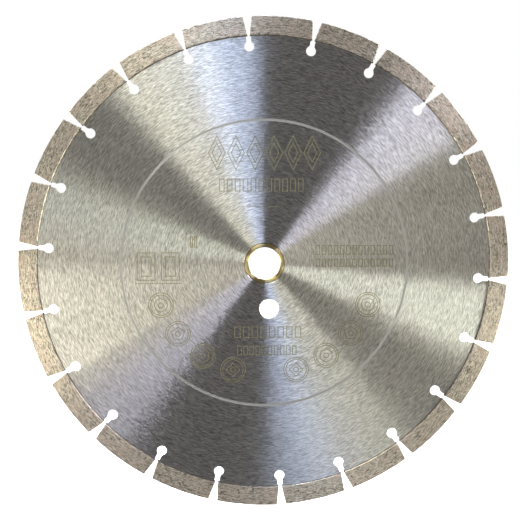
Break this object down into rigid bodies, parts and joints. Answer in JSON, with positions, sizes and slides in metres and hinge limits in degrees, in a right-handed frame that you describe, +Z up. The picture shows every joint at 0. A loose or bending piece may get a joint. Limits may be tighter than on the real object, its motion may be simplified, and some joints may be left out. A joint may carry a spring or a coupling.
{
  "type": "diamond blade",
  "caption": "Flat steel disc with keyhole slots, sintered diamond segments round its rim, a drive pin hole and a push-fit brass reducer bush in the bore.",
  "frame": {"origin": "centre of the arbor bore, on the spin axis, halfway through the blade's thickness", "axes": "the blade stands upright: +Y along the spin axis from the front face to the back face, +Z up, +X to the right as the front face is seen; the drive pin hole is below the bore"},
  "size_m": [0.3048, 0.0032, 0.3048],
  "materials": {
    "core_steel": "ground in circles, semi-bright",
    "segment_matrix": "sintered bronze and steel matrix with diamond grit, tan grey, matte, ground flanks",
    "bush_brass": "turned, bright, fine concentric tool marks"
  },
  "bodies": {
    "blade": {"core": "core_steel", "segment_01": "segment_matrix", "segment_02": "segment_matrix", "segment_03": "segment_matrix", "segment_04": "segment_matrix", "segment_05": "segment_matrix", "segment_06": "segment_matrix", "segment_07": "segment_matrix", "segment_08": "segment_matrix", "segment_09": "segment_matrix", "segment_10": "segment_matrix", "segment_11": "segment_matrix", "segment_12": "segment_matrix", "segment_13": "segment_matrix", "segment_14": "segment_matrix", "segment_15": "segment_matrix", "segment_16": "segment_matrix", "segment_17": "segment_matrix", "segment_18": "segment_matrix", "segment_19": "segment_matrix", "segment_20": "segment_matrix", "segment_21": "segment_matrix", "segment_22": "segment_matrix"},
    "bush": {"bush": "bush_brass"}
  },
  "joints": [
    {"name": "bush_push_out", "type": "slide", "parent": "blade", "child": "bush", "axis": [0, -1, 0], "range_m": [-0.01, 0.01]}
  ]
}
